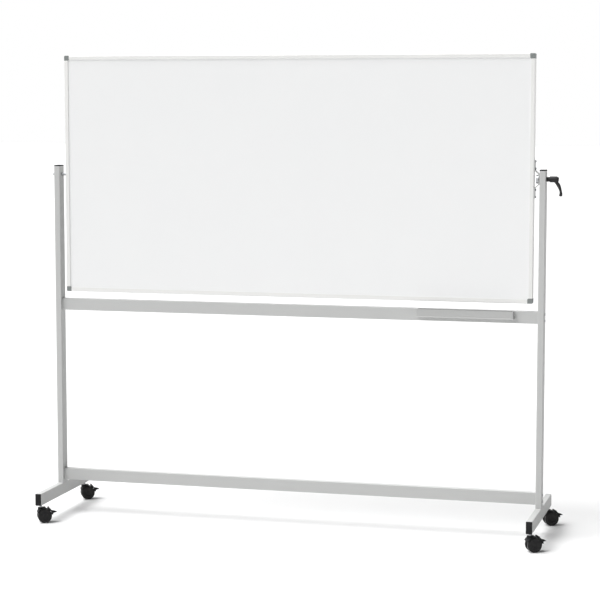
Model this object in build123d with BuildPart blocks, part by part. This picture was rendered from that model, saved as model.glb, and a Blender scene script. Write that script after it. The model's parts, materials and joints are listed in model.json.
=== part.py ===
"""Rolling whiteboard: a two-sided board that turns between the posts of a stand on four castors.

Frame: X runs along the board, Y from front to back, Z up. The origin is on the floor,
midway between the two posts. Sizes are in millimetres.
"""

from build123d import *
from math import cos, radians, sin, tan
import os

os.makedirs("parts", exist_ok=True)

# ---------------------------------------------------------------- driving dimensions

# Board
board_width = 2000.0
board_height = 1000.0
board_thickness = 30.0
board_gap = 31.0  # under the board, above the upper rail
edge_gap = 23.0  # between the board's edge and a post
frame_face = 16.0  # width of the aluminium frame seen from the front
frame_wall = 1.5
frame_corner_radius = 3.0
channel_depth = 8.0  # how far the panel goes into the frame
panel_thickness = 24.0
sheet_thickness = 0.6
corner_size = 21.0  # plastic corner pieces, seen from the front
corner_outer_radius = 4.0
corner_inner_radius = 6.0
peg_length = 20.0  # pegs of the corner pieces inside the frame bars
peg_clearance = 0.2

# Stand
tube_narrow = 25.0
tube_wide = 50.0
tube_wall = 1.5
tube_corner = 2.5
post_above_pivot = 34.0
foot_length = 560.0  # over its end caps
lower_rail_gap = 13.0  # above the feet
upper_rail_top = 929.0
cap_head = 4.0
cap_plug = 16.0
cap_plug_wall = 2.0
cap_clearance = 0.2
cap_edge_radius = 1.2

# Bolts of the stand
bolt_diameter = 6.0
bolt_hole = 6.4
bolt_head_diameter = 11.0
bolt_head_height = 3.5
bolt_spacing = 26.0
block_thickness = 12.0
block_clearance = 0.1

# Pen tray
tray_length = 400.0
tray_depth = 35.0
tray_height = 32.0
tray_wall = 2.0
tray_from_post = 294.0  # from the right post's inner face to the tray's middle
tray_above_rail = 0.0
tray_rim = 3.0  # how far the lower rim stands out
tray_rim_edge = 1.0
tray_rim_height = 5.0
tray_corner = 4.0
tray_screw_spacing = 150.0
tray_screw_height = 21.0
tray_screw_diameter = 4.0
tray_screw_head = 8.0
tray_screw_head_height = 2.4
tray_screw_reach = 10.0

# Left pivot
stud_diameter = 8.0
stud_sleeve_diameter = 14.0
insert_diameter = 14.0
insert_length = 30.0
spacer_diameter = 13.0
nut_across_flats = 13.0
nut_height = 15.0
nut_hex_height = 8.0
nut_thread_depth = 11.0
nut_dome_radius = 6.2

# Right pivot, clamp and lever
bracket_height = 154.0
bracket_width = 28.0
bracket_thickness = 3.0
bracket_waist = 74.0  # height of the raised part where its legs meet the flanges
bracket_screw_inner = 42.5
bracket_screw_outer = 71.5
bracket_bend_radius = 2.0
screw_diameter = 5.0
screw_head_diameter = 9.0
screw_head_height = 5.0
screw_length = 8.0
spindle_diameter = 10.0
spindle_flange_diameter = 35.0
spindle_flange_thickness = 9.5
spindle_reach = 16.0  # into the lever's insert, past the post
disc_thickness = 2.1
clamp_sleeve_diameter = 16.0
moving_gap = 0.4  # between faces that slide on each other
shaft_clearance = 0.05  # radial, of shafts in their bores
lever_neck_diameter = 19.0
lever_neck_length = 13.4
lever_hub_diameter = 24.5
lever_hub_length = 49.0
lever_hub_chamfer = 4.0
lever_arm_width = 14.0
lever_arm_radius = 3.0
lever_tip_radius = 7.0
lever_tip_out = 58.4  # tip centre, outwards from the lever's foot
lever_tip_drop = 62.0  # and below the axis
insert_bush_diameter = 16.0
insert_bush_length = 32.6
insert_bore_depth = 17.6
lever_shoulder = 3.5
lever_shoulder_clearance = 0.3
lever_pocket_diameter = 11.0
lever_lift = 4.0
spring_wire = 0.8
spring_coil_radius = 4.2
spring_turns = 4.0
spring_length = 9.5
retaining_screw_diameter = 5.0
retaining_screw_head = 9.6
retaining_screw_head_height = 3.5
retaining_screw_reach = 12.0  # into the insert
retaining_socket = 4.0
retaining_socket_depth = 2.0

# Castors
castor_setback = 30.0  # stem centre from the foot's end
castor_heading = 29.0  # degrees, the way that all four castors trail
castor_trail = 15.0
wheel_radius = 30.0
foot_clearance = 17.0  # between the wheels and the feet
wheel_gap = 14.0  # between the two wheels of a castor
castor_width = 42.0
wheel_edge_radius = 4.5
wheel_rim = 5.0
wheel_hub_radius = 9.0
wheel_disc = 6.0
wheel_dish = 1.0
axle_diameter = 8.0
axle_end_gap = 0.6
axle_cover = 2.0  # wheel material over the axle's end
stem_diameter = 11.0
stem_journal_diameter = 8.0
stem_journal_start = 10.0  # above the axle
stem_reach = 39.0  # into the foot
socket_diameter = 16.0
socket_length = 40.0
hood_above_wheel = 6.0
hood_boss_radius = 13.0
hood_clearance = 1.0  # between hood and tyre
hood_wall = 3.6
hood_start = 78.0  # degrees round the wheel, where the hood's cover ends at the pedal
hood_end = 155.0
web_side_gap = 0.6
web_end = 165.0
web_hub_radius = 12.0
pedal_pivot_share = 0.8  # of the wheel's radius
pedal_pivot_angle = 60.0
pedal_start = 8.0
pedal_end = 66.0
pedal_clearance = 1.2
pedal_wall = 5.4
pedal_width = 40.0
pedal_ridge = 3.0
pedal_tongue = 4.4
pedal_slot = 5.0
pedal_pin_diameter = 4.0
pedal_tab_length = 17.0
pedal_tab_width = 20.0
brake_gap = 0.4  # between brake shoe and tyre

# ---------------------------------------------------------------- worked out from them

post_gap = board_width + 2 * edge_gap  # between the posts' inner faces
pivot_height = upper_rail_top + board_gap + board_height / 2  # the board's level axis
post_top = pivot_height + post_above_pivot
castor_height = 2 * wheel_radius + foot_clearance  # floor to the feet's underside
post_x = post_gap / 2 + tube_narrow / 2
post_face = post_gap / 2 + tube_narrow  # outer face of a post
foot_top = castor_height + tube_wide
rail_front = -tube_narrow / 2
lower_rail_z = foot_top + lower_rail_gap + tube_wide / 2
upper_rail_z = upper_rail_top - tube_wide / 2
edge_x = board_width / 2
tray_centre_x = post_gap / 2 - tray_from_post
panel_inset = frame_face - channel_depth
chamber_height = panel_inset - 2 * frame_wall
tray_top = upper_rail_top + tray_above_rail
tray_bottom = tray_top - tray_height
castor_y = foot_length / 2 - castor_setback
sides = {"left": -1, "right": 1}
ends = {"front": -1, "back": 1}


def save(piece, name):
    """Label a finished piece and write it."""
    piece.label = name
    export_step(piece, f"parts/{name}.step")


def tube_outline(across, deep):
    """Cross-section of the stand's rectangular tube."""
    RectangleRounded(across, deep, tube_corner)
    RectangleRounded(
        across - 2 * tube_wall, deep - 2 * tube_wall, tube_corner - tube_wall, mode=Mode.SUBTRACT
    )


def turned(plane_origin, steps, direction=(1, 0, 0)):
    """A stepped round piece: (diameter, length) of each step, laid end to end."""
    at = Vector(*plane_origin)
    along = Vector(*direction)
    with BuildPart() as piece:
        for diameter, length in steps:
            with BuildSketch(Plane(origin=at, z_dir=along)):
                Circle(diameter / 2)
            extrude(amount=length)
            at = at + along * length
    return piece.part


def round_cut(origin, diameter, length, direction=(1, 0, 0)):
    """Drill a round hole in the part that is being built."""
    with BuildSketch(Plane(origin=origin, z_dir=direction)) as hole:
        Circle(diameter / 2)
    extrude(hole.sketch, amount=length, mode=Mode.SUBTRACT)


# ---------------------------------------------------------------- stand: posts, feet, rails

rail_heights = (lower_rail_z, upper_rail_z)
sleeve_diameters = {"left": stud_sleeve_diameter, "right": clamp_sleeve_diameter}

for side, sign in sides.items():
    with BuildPart() as post:
        with BuildSketch(Plane(origin=(sign * post_x, 0, foot_top))):
            tube_outline(tube_narrow, tube_wide)
        extrude(amount=post_top - foot_top)
        start = sign * post_x - tube_narrow / 2
        round_cut((start, 0, pivot_height), sleeve_diameters[side], tube_narrow)
        for rail_z in rail_heights:
            for offset in (-bolt_spacing / 2, bolt_spacing / 2):
                round_cut((start, 0, rail_z + offset), bolt_hole, tube_narrow)
    save(post.part, f"post_{side}")

foot_tube_length = foot_length - 2 * cap_head
for side, sign in sides.items():
    foot_plane = Plane(
        origin=(sign * post_x, -foot_tube_length / 2, castor_height + tube_wide / 2),
        x_dir=(1, 0, 0),
        z_dir=(0, 1, 0),
    )
    with BuildPart() as foot:
        with BuildSketch(foot_plane):
            tube_outline(tube_narrow, tube_wide)
        extrude(amount=foot_tube_length)
        for offset in (-bolt_spacing / 2, bolt_spacing / 2):
            round_cut((sign * post_x, offset, castor_height), bolt_hole, tube_wide, (0, 0, 1))
        for end in ends.values():
            socket_at = (sign * post_x, end * castor_y, castor_height)
            round_cut(socket_at, socket_diameter, tube_wall, (0, 0, 1))
    save(foot.part, f"foot_{side}")

with BuildPart() as lower_rail:
    with BuildSketch(Plane(origin=(-post_gap / 2, 0, lower_rail_z), x_dir=(0, 1, 0), z_dir=(1, 0, 0))):
        tube_outline(tube_narrow, tube_wide)
    extrude(amount=post_gap)
save(lower_rail.part, "lower_rail")

tray_screw_z = tray_bottom + tray_screw_height
tray_screw_places = [tray_centre_x + step * tray_screw_spacing for step in (-1, 0, 1)]

with BuildPart() as upper_rail:
    with BuildSketch(Plane(origin=(-post_gap / 2, 0, upper_rail_z), x_dir=(0, 1, 0), z_dir=(1, 0, 0))):
        tube_outline(tube_narrow, tube_wide)
    extrude(amount=post_gap)
    for x in tray_screw_places:
        round_cut((x, rail_front, tray_screw_z), tray_screw_diameter, tube_wall, (0, 1, 0))
save(upper_rail.part, "upper_rail")


def end_cap(plane):
    """A plastic cap: a head as large as the tube, and a hollow plug inside it."""
    inner_across = tube_narrow - 2 * (tube_wall + cap_clearance)
    inner_deep = tube_wide - 2 * (tube_wall + cap_clearance)
    with BuildPart() as cap:
        with BuildSketch(plane):
            RectangleRounded(tube_narrow, tube_wide, tube_corner)
        extrude(amount=cap_head)
        rim = cap.faces().sort_by(Axis(plane.origin, plane.z_dir))[-1].edges()
        fillet(rim, cap_edge_radius)
        with BuildSketch(plane):
            RectangleRounded(inner_across, inner_deep, tube_corner - tube_wall)
            Rectangle(
                inner_across - 2 * cap_plug_wall, inner_deep - 2 * cap_plug_wall, mode=Mode.SUBTRACT
            )
        extrude(amount=-cap_plug)
    return cap.part


cap_planes = {
    "post_caps": [
        Plane(origin=(sign * post_x, 0, post_top), x_dir=(1, 0, 0), z_dir=(0, 0, 1))
        for sign in sides.values()
    ],
    "foot_end_caps": [
        Plane(
            origin=(sign * post_x, end * foot_tube_length / 2, castor_height + tube_wide / 2),
            x_dir=(1, 0, 0),
            z_dir=(0, end, 0),
        )
        for sign in sides.values()
        for end in ends.values()
    ],
}
for name, planes in cap_planes.items():
    save(Compound(children=[end_cap(plane) for plane in planes]), name)

# ---------------------------------------------------------------- stand: blocks and bolts


def nut_block(plane):
    """A block that fills the tube, with two threaded holes along it."""
    with BuildPart() as block:
        with BuildSketch(plane):
            RectangleRounded(
                tube_narrow - 2 * (tube_wall + block_clearance),
                tube_wide - 2 * (tube_wall + block_clearance),
                tube_corner - tube_wall,
            )
            with GridLocations(0, bolt_spacing, 1, 2):
                Circle(bolt_diameter / 2, mode=Mode.SUBTRACT)
        extrude(amount=block_thickness)
    return block.part


def bolt(origin, direction, grip):
    """A pan-head bolt whose head seats at the origin and whose shank runs along direction."""
    along = Vector(*direction)
    head = turned(Vector(*origin) - along * bolt_head_height, [(bolt_head_diameter, bolt_head_height)], direction)
    with BuildPart() as piece:
        add(head)
        fillet(piece.edges().sort_by(Axis(origin, direction))[0], bolt_head_height / 2)
        with BuildSketch(Plane(origin=origin, z_dir=direction)):
            Circle(bolt_diameter / 2)
        extrude(amount=grip + block_thickness)
    return piece.part


blocks = [nut_block(Plane(origin=(sign * post_x, 0, foot_top))) for sign in sides.values()]
rail_bolts = []
foot_bolts = []
for sign in sides.values():
    for rail_z in rail_heights:
        rail_end = Plane(
            origin=(sign * post_gap / 2, 0, rail_z), x_dir=(0, 1, 0), z_dir=(-sign, 0, 0)
        )
        blocks.append(nut_block(rail_end))
        for offset in (-bolt_spacing / 2, bolt_spacing / 2):
            seat = (sign * post_face, 0, rail_z + offset)
            rail_bolts.append(bolt(seat, (-sign, 0, 0), tube_narrow))
    for offset in (-bolt_spacing / 2, bolt_spacing / 2):
        seat = (sign * post_x, offset, castor_height)
        foot_bolts.append(bolt(seat, (0, 0, 1), tube_wide))

save(Compound(children=blocks), "tube_nut_blocks")
save(Compound(children=rail_bolts), "rail_bolts")
save(Compound(children=foot_bolts), "foot_bolts")

# ---------------------------------------------------------------- pen tray

with BuildPart() as pen_tray:
    body_length = tray_length - 2 * tray_rim
    body_depth = tray_depth - tray_rim
    with BuildSketch(Plane.XY.offset(tray_bottom)):
        with Locations((tray_centre_x, rail_front - tray_depth / 2)):
            Rectangle(tray_length, tray_depth)
    extrude(amount=tray_rim_edge)
    with BuildSketch(Plane.XY.offset(tray_bottom + tray_rim_edge)):
        with Locations((tray_centre_x, rail_front - tray_depth / 2)):
            Rectangle(tray_length, tray_depth)
    with BuildSketch(Plane.XY.offset(tray_bottom + tray_rim_height)):
        with Locations((tray_centre_x, rail_front - body_depth / 2)):
            Rectangle(body_length, body_depth)
    loft()
    with BuildSketch(Plane.XY.offset(tray_bottom + tray_rim_height)):
        with Locations((tray_centre_x, rail_front - body_depth / 2)):
            Rectangle(body_length, body_depth)
    extrude(amount=tray_height - tray_rim_height)
    front_edges = pen_tray.edges().filter_by(Axis.Z).group_by(Axis.Y)[0]
    fillet(front_edges, tray_rim_edge)
    with BuildSketch(Plane.XY.offset(tray_bottom + tray_wall)):
        with Locations((tray_centre_x, rail_front - body_depth / 2)):
            RectangleRounded(body_length - 2 * tray_wall, body_depth - 2 * tray_wall, tray_corner)
    extrude(amount=tray_height, mode=Mode.SUBTRACT)
    for x in tray_screw_places:
        round_cut((x, rail_front - tray_wall, tray_screw_z), tray_screw_diameter, tray_wall, (0, 1, 0))
save(pen_tray.part, "pen_tray")

tray_screws = []
for x in tray_screw_places:
    head_at = (x, rail_front - tray_wall - tray_screw_head_height, tray_screw_z)
    steps = [(tray_screw_head, tray_screw_head_height), (tray_screw_diameter, tray_screw_reach)]
    tray_screws.append(turned(head_at, steps, (0, 1, 0)))
save(Compound(children=tray_screws), "tray_screws")

# ---------------------------------------------------------------- board: panel

panel_width = board_width - 2 * panel_inset
panel_height = board_height - 2 * panel_inset
core_thickness = panel_thickness - 2 * sheet_thickness

with BuildPart() as board_core:
    with BuildSketch(Plane(origin=(0, core_thickness / 2, pivot_height), x_dir=(1, 0, 0), z_dir=(0, -1, 0))):
        Rectangle(panel_width, panel_height)
    extrude(amount=core_thickness)
    round_cut((-panel_width / 2, 0, pivot_height), insert_diameter, insert_length - panel_inset)
save(board_core.part, "board_core")

for name, face_y in (("front_sheet", -core_thickness / 2), ("rear_sheet", panel_thickness / 2)):
    with BuildPart() as sheet:
        with BuildSketch(Plane(origin=(0, face_y, pivot_height), x_dir=(1, 0, 0), z_dir=(0, -1, 0))):
            Rectangle(panel_width, panel_height)
        extrude(amount=sheet_thickness)
    save(sheet.part, name)

# ---------------------------------------------------------------- board: frame bars and corners

bar_width = board_width - 2 * corner_size
bar_height = board_height - 2 * corner_size
board_top = pivot_height + board_height / 2
board_bottom = pivot_height - board_height / 2
bar_places = {
    "frame_top": ((-bar_width / 2, 0, board_top), (1, 0, 0), bar_width),
    "frame_bottom": ((bar_width / 2, 0, board_bottom), (-1, 0, 0), bar_width),
    "frame_left": ((-edge_x, 0, pivot_height - bar_height / 2), (0, 0, 1), bar_height),
    "frame_right": ((edge_x, 0, pivot_height + bar_height / 2), (0, 0, -1), bar_height),
}
bracket_screw_heights = [
    pivot_height + sign * offset
    for sign in (-1, 1)
    for offset in (bracket_screw_inner, bracket_screw_outer)
]

for name, (origin, direction, length) in bar_places.items():
    with BuildPart() as bar:
        with BuildSketch(Plane(origin=origin, x_dir=(0, 1, 0), z_dir=direction)) as outline:
            with Locations((0, -frame_face / 2)):
                Rectangle(board_thickness, frame_face)
            fillet(outline.vertices().group_by(Axis.Y)[-1], frame_corner_radius)
            with Locations((0, -frame_wall - chamber_height / 2)):
                Rectangle(board_thickness - 2 * frame_wall, chamber_height, mode=Mode.SUBTRACT)
            with Locations((0, channel_depth / 2 - frame_face)):
                Rectangle(panel_thickness, channel_depth, mode=Mode.SUBTRACT)
        extrude(amount=length)
        if name == "frame_left":
            round_cut((-edge_x, 0, pivot_height), insert_diameter, frame_face)
        if name == "frame_right":
            for z in bracket_screw_heights:
                round_cut((edge_x - frame_wall, 0, z), screw_diameter, frame_wall)
    save(bar.part, name)


def corner_box(x_sign, z_sign, x_from, x_to, z_from, z_to, depth, mode=Mode.ADD):
    """A block given by its distances from the board's side edge and from its top or bottom edge."""
    centre = (
        x_sign * (edge_x - (x_from + x_to) / 2),
        0,
        pivot_height + z_sign * (board_height / 2 - (z_from + z_to) / 2),
    )
    with Locations(centre):
        Box(x_to - x_from, depth, z_to - z_from, mode=mode)


peg_depth = board_thickness - 2 * (frame_wall + peg_clearance)
peg_near = frame_wall + peg_clearance
peg_far = frame_wall + chamber_height - peg_clearance
peg_end = corner_size + peg_length

for level, z_sign in {"top": 1, "bottom": -1}.items():
    for side, x_sign in sides.items():
        with BuildPart() as corner:
            corner_box(x_sign, z_sign, 0, corner_size, 0, corner_size, board_thickness)
            by_place = corner.edges().filter_by(Axis.Y).sort_by(
                Axis((0, 0, pivot_height), (x_sign, 0, z_sign))
            )
            fillet(by_place[-1], corner_outer_radius)
            inner_edge = corner.edges().filter_by(Axis.Y).sort_by(
                Axis((0, 0, pivot_height), (x_sign, 0, z_sign))
            )[0]
            fillet(inner_edge, corner_inner_radius)
            corner_box(
                x_sign, z_sign, panel_inset, corner_size, panel_inset, corner_size,
                panel_thickness, Mode.SUBTRACT,
            )
            corner_box(x_sign, z_sign, corner_size, peg_end, peg_near, peg_far, peg_depth)
            corner_box(x_sign, z_sign, peg_near, peg_far, corner_size, peg_end, peg_depth)
        save(corner.part, f"corner_{level}_{side}")

# ---------------------------------------------------------------- left pivot

sleeve_bores = {
    "left": stud_diameter + 2 * shaft_clearance,
    "right": spindle_diameter + 2 * shaft_clearance,
}
for side, sign in sides.items():
    with BuildPart() as sleeve:
        add(turned((sign * post_x - tube_narrow / 2, 0, pivot_height), [(sleeve_diameters[side], tube_narrow)]))
        round_cut((sign * post_x - tube_narrow / 2, 0, pivot_height), sleeve_bores[side], tube_narrow)
    save(sleeve.part, f"pivot_sleeve_{side}")

with BuildPart() as pivot_insert:
    add(turned((-edge_x, 0, pivot_height), [(insert_diameter, insert_length)]))
    round_cut((-edge_x, 0, pivot_height), stud_diameter, insert_length)
save(pivot_insert.part, "pivot_insert")

spacer_length = edge_gap - moving_gap
with BuildPart() as pivot_spacer:
    add(turned((-edge_x - spacer_length, 0, pivot_height), [(spacer_diameter, spacer_length)]))
    round_cut((-edge_x - spacer_length, 0, pivot_height), stud_diameter, spacer_length)
save(pivot_spacer.part, "pivot_spacer")

nut_seat = -post_face - moving_gap
with BuildPart() as cap_nut:
    with BuildSketch(Plane(origin=(nut_seat, 0, pivot_height), z_dir=(-1, 0, 0))):
        RegularPolygon(nut_across_flats / 2, 6, major_radius=False)
    extrude(amount=nut_hex_height)
    add(turned((nut_seat - nut_height, 0, pivot_height), [(2 * nut_dome_radius, nut_height - nut_hex_height)]))
    dome_edge = cap_nut.edges().filter_by(GeomType.CIRCLE).sort_by(Axis.X)[0]
    fillet(dome_edge, nut_height - nut_hex_height - tube_wall)
    round_cut((nut_seat - nut_thread_depth, 0, pivot_height), stud_diameter, nut_thread_depth)
save(cap_nut.part, "cap_nut")

stud_outer_end = nut_seat - nut_thread_depth
pivot_stud = turned(
    (stud_outer_end, 0, pivot_height),
    [(stud_diameter, -edge_x + insert_length - stud_outer_end)],
)
save(pivot_stud, "pivot_stud")

# ---------------------------------------------------------------- right pivot and clamp

plate_out = edge_x + edge_gap - moving_gap - disc_thickness  # outer face of the bracket's plate
leg_run = plate_out - edge_x - bracket_thickness  # the legs stand at 45 degrees
bend_shift = bracket_thickness * tan(radians(45 / 2))
waist = bracket_waist / 2
upper_half = [
    (edge_x, bracket_height / 2),
    (edge_x + bracket_thickness, bracket_height / 2),
    (edge_x + bracket_thickness, waist),
    (plate_out, waist - leg_run),
]
upper_back = [
    (plate_out - bracket_thickness, waist - leg_run - bend_shift),
    (edge_x, waist - bend_shift),
]
bracket_outline = (
    upper_half
    + [(x, -z) for x, z in reversed(upper_half)]
    + [(x, -z) for x, z in reversed(upper_back)]
    + upper_back
)

with BuildPart() as clamp_bracket:
    with BuildSketch(Plane(origin=(0, 0, pivot_height), x_dir=(1, 0, 0), z_dir=(0, -1, 0))) as outline:
        with BuildLine():
            Polyline(*bracket_outline, close=True)
        make_face()
        bends = [v for v in outline.vertices() if abs(v.Y) < waist + bracket_thickness]
        fillet(bends, bracket_bend_radius)
    extrude(amount=bracket_width / 2, both=True)
    for z in bracket_screw_heights:
        round_cut((edge_x, 0, z), screw_diameter, bracket_thickness)
    round_cut((plate_out - bracket_thickness, 0, pivot_height), spindle_diameter, bracket_thickness)
save(clamp_bracket.part, "clamp_bracket")


def bracket_screw(z):
    """A pan-head screw through the bracket's flange into the frame's outer wall."""
    seat = edge_x + bracket_thickness
    with BuildPart() as screw:
        add(turned((seat - screw_length, 0, z), [(screw_diameter, screw_length), (screw_head_diameter, screw_head_height)]))
        fillet(screw.edges().filter_by(GeomType.CIRCLE).sort_by(Axis.X)[-1], screw_head_height / 2)
    return screw.part


save(Compound(children=[bracket_screw(z) for z in bracket_screw_heights]), "bracket_screws")

flange_start = plate_out - bracket_thickness - spindle_flange_thickness
lever_foot = post_face + moving_gap
spindle_end = lever_foot + spindle_reach
clamp_spindle = turned(
    (flange_start, 0, pivot_height),
    [
        (spindle_flange_diameter, spindle_flange_thickness),
        (spindle_diameter, spindle_end - flange_start - spindle_flange_thickness),
    ],
)
save(clamp_spindle, "clamp_spindle")

with BuildPart() as friction_disc:
    add(turned((plate_out, 0, pivot_height), [(spindle_flange_diameter, disc_thickness)]))
    round_cut((plate_out, 0, pivot_height), spindle_diameter, disc_thickness)
save(friction_disc.part, "friction_disc")

# ---------------------------------------------------------------- clamping lever

insert_end = lever_foot + insert_bush_length
with BuildPart() as lever_insert:
    add(turned((lever_foot, 0, pivot_height), [(insert_bush_diameter, insert_bush_length)]))
    round_cut((lever_foot, 0, pivot_height), spindle_diameter + 2 * shaft_clearance, insert_bore_depth)
    round_cut((insert_end - retaining_screw_reach, 0, pivot_height), retaining_screw_diameter, retaining_screw_reach)
save(lever_insert.part, "lever_insert")

shoulder_start = insert_end + moving_gap
pocket_start = shoulder_start + lever_shoulder
hub_end = lever_foot + lever_hub_length
tip_centre = (lever_foot + lever_tip_out, -lever_tip_drop)
arm_root = (hub_end - lever_tip_radius, lever_tip_radius - lever_hub_diameter / 2)
arm_middle = (lever_foot + 0.9 * lever_tip_out, -0.5 * lever_tip_drop)
gusset_start = (hub_end - lever_hub_diameter, -lever_hub_diameter / 3)

with BuildPart() as clamp_lever:
    add(
        turned(
            (lever_foot, 0, pivot_height),
            [
                (lever_neck_diameter, lever_neck_length),
                (lever_hub_diameter, lever_hub_length - lever_neck_length),
            ],
        )
    )
    chamfer(clamp_lever.edges().sort_by(Axis.X)[-1], lever_hub_chamfer)
    arm_plane = Plane(origin=(0, 0, pivot_height), x_dir=(1, 0, 0), z_dir=(0, -1, 0))
    with BuildPart(mode=Mode.PRIVATE) as arm:
        with BuildSketch(arm_plane):
            with BuildLine(mode=Mode.PRIVATE) as spine:
                ThreePointArc(arm_root, arm_middle, tip_centre)
            SlotArc(spine.edges()[0], 2 * lever_tip_radius)
        extrude(amount=lever_arm_width / 2, both=True)
        side_faces = arm.faces().filter_by(Axis.Y)
        fillet(side_faces.edges(), lever_arm_radius)
    with BuildSketch(arm_plane):
        with BuildLine():
            Polyline(gusset_start, arm_middle, arm_root, close=True)
        make_face()
    extrude(amount=lever_arm_width / 3, both=True)
    add(arm.part)
    round_cut((lever_foot, 0, pivot_height), insert_bush_diameter + 2 * shaft_clearance, shoulder_start - lever_foot)
    round_cut(
        (shoulder_start, 0, pivot_height),
        retaining_screw_diameter + 2 * lever_shoulder_clearance,
        lever_shoulder,
    )
    round_cut((pocket_start, 0, pivot_height), lever_pocket_diameter, lever_hub_length)
save(clamp_lever.part, "clamp_lever")

head_start = pocket_start + spring_length
with BuildPart() as lever_screw:
    add(
        turned(
            (insert_end - retaining_screw_reach, 0, pivot_height),
            [
                (retaining_screw_diameter, head_start - insert_end + retaining_screw_reach),
                (retaining_screw_head, retaining_screw_head_height),
            ],
        )
    )
    head_end = head_start + retaining_screw_head_height
    with BuildSketch(Plane(origin=(head_end, 0, pivot_height), z_dir=(1, 0, 0))):
        RegularPolygon(retaining_socket / 2, 6, major_radius=False)
    extrude(amount=-retaining_socket_depth, mode=Mode.SUBTRACT)
save(lever_screw.part, "lever_screw")

with BuildPart() as lever_spring:
    coil_height = spring_length - spring_wire
    with BuildLine():
        coil = Helix(
            pitch=coil_height / spring_turns,
            height=coil_height,
            radius=spring_coil_radius,
            center=(pocket_start + spring_wire / 2, 0, pivot_height),
            direction=(1, 0, 0),
        )
    with BuildSketch(Plane(origin=coil @ 0, z_dir=coil % 0)):
        Circle(spring_wire / 2)
    sweep()
save(lever_spring.part, "lever_spring")

# ---------------------------------------------------------------- castors

heading = radians(castor_heading)
trail_dir = Vector(cos(heading), sin(heading), 0)
axle_dir = Vector(sin(heading), -cos(heading), 0)
stem_journal_bottom = wheel_radius + stem_journal_start
hood_top = 2 * wheel_radius + hood_above_wheel
pedal_pivot_radius = pedal_pivot_share * wheel_radius
wheel_centre = (castor_trail, wheel_radius)  # in the castor's side view: trail, height
web_thickness = wheel_gap - 2 * web_side_gap
hood_inner = wheel_radius + hood_clearance
hood_outer = hood_inner + hood_wall
pedal_inner = wheel_radius + pedal_clearance
pedal_outer = pedal_inner + pedal_wall
pivot_angle = radians(pedal_pivot_angle)
pedal_pivot = (
    castor_trail + pedal_pivot_radius * cos(pivot_angle),
    wheel_radius + pedal_pivot_radius * sin(pivot_angle),
)


def side_plane(x, y):
    """The castor's side view: x along its trail, y up, normal along the axle."""
    return Plane(origin=(x, y, 0), x_dir=trail_dir, z_dir=axle_dir)


def round_wheel(radius, angle):
    """A point at a radius and angle about the wheel's centre, in the side view."""
    turn = radians(angle)
    return (wheel_centre[0] + radius * cos(turn), wheel_centre[1] + radius * sin(turn))


def sector(inner, outer, start, end):
    """A face between two radii and two angles about the wheel's centre."""
    with BuildLine() as outline:
        CenterArc(wheel_centre, outer, start, end - start)
        Line(round_wheel(outer, end), round_wheel(inner, end))
        CenterArc(wheel_centre, inner, start, end - start)
        Line(round_wheel(inner, start), round_wheel(outer, start))
    make_face(outline.edges())


def castor_hood(x, y):
    plane = side_plane(x, y)
    with BuildPart() as hood:
        with BuildSketch(Plane(origin=(x, y, wheel_radius))):
            Circle(hood_boss_radius)
        extrude(amount=hood_top - wheel_radius)
        fillet(hood.edges().sort_by(Axis.Z)[-1], cap_edge_radius)
        with BuildSketch(plane):
            sector(hood_inner, hood_outer, hood_start, hood_end)
        extrude(amount=castor_width / 2, both=True)
        for side in (-1, 1):
            with BuildSketch(plane.offset(side * web_thickness / 2)):
                with Locations(wheel_centre):
                    Circle(hood_inner)
            extrude(amount=side * castor_width, mode=Mode.SUBTRACT)
        with BuildSketch(plane):
            sector(web_hub_radius / 2, hood_inner + hood_wall / 2, hood_start, hood_end)
            sector(web_hub_radius / 2, wheel_radius - web_side_gap, hood_end, web_end)
            sector(web_hub_radius / 2, wheel_radius - web_side_gap, pedal_pivot_angle - 15, hood_start)
            with Locations(wheel_centre):
                Circle(web_hub_radius)
        extrude(amount=web_thickness / 2, both=True)
        with BuildSketch(plane):
            sector(pedal_pivot_radius - pedal_slot - 1, hood_outer, pedal_pivot_angle - 25, hood_start - 2)
        extrude(amount=pedal_slot / 2, both=True, mode=Mode.SUBTRACT)
        with BuildSketch(plane):
            with Locations(wheel_centre):
                Circle(axle_diameter / 2)
            with Locations(pedal_pivot):
                Circle(pedal_pin_diameter / 2 + shaft_clearance)
        extrude(amount=castor_width, both=True, mode=Mode.SUBTRACT)
        round_cut(
            (x, y, stem_journal_bottom - moving_gap),
            stem_journal_diameter + 2 * shaft_clearance,
            hood_top,
            (0, 0, 1),
        )
    return hood.part


def castor_pedal(x, y):
    plane = side_plane(x, y)
    with BuildPart() as pedal:
        with BuildSketch(plane):
            sector(pedal_inner, pedal_outer, pedal_start, pedal_end)
            sector(pedal_inner, pedal_outer + pedal_ridge, pedal_end - 8, pedal_end)
        extrude(amount=pedal_width / 2, both=True)
        with BuildSketch(plane):
            sector(wheel_radius + brake_gap, pedal_inner + pedal_wall / 2, pedal_start, pedal_start + 7)
        extrude(amount=pedal_width / 2, both=True)
        with BuildSketch(plane):
            tab_root_low = round_wheel(pedal_inner + pedal_wall / 2, 17)
            tab_root_high = round_wheel(pedal_outer - 1, 36)
            tip = round_wheel(pedal_outer + pedal_tab_length, 12)
            tip_high = (tip[0] + 0.5, tip[1] + 3)
            with BuildLine():
                Polyline(tab_root_low, tip, tip_high, tab_root_high, close=True)
            make_face()
        extrude(amount=pedal_tab_width / 2, both=True)
        with BuildSketch(plane):
            with Locations(pedal_pivot):
                Circle(pedal_slot - 0.5)
            sector(pedal_pivot_radius, pedal_inner + 1, pedal_pivot_angle - 12, pedal_pivot_angle + 2)
        extrude(amount=pedal_tongue / 2, both=True)
        with BuildSketch(plane):
            with Locations(pedal_pivot):
                Circle(pedal_pin_diameter / 2)
        extrude(amount=web_thickness / 2 - web_side_gap / 2, both=True)
    return pedal.part


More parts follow.
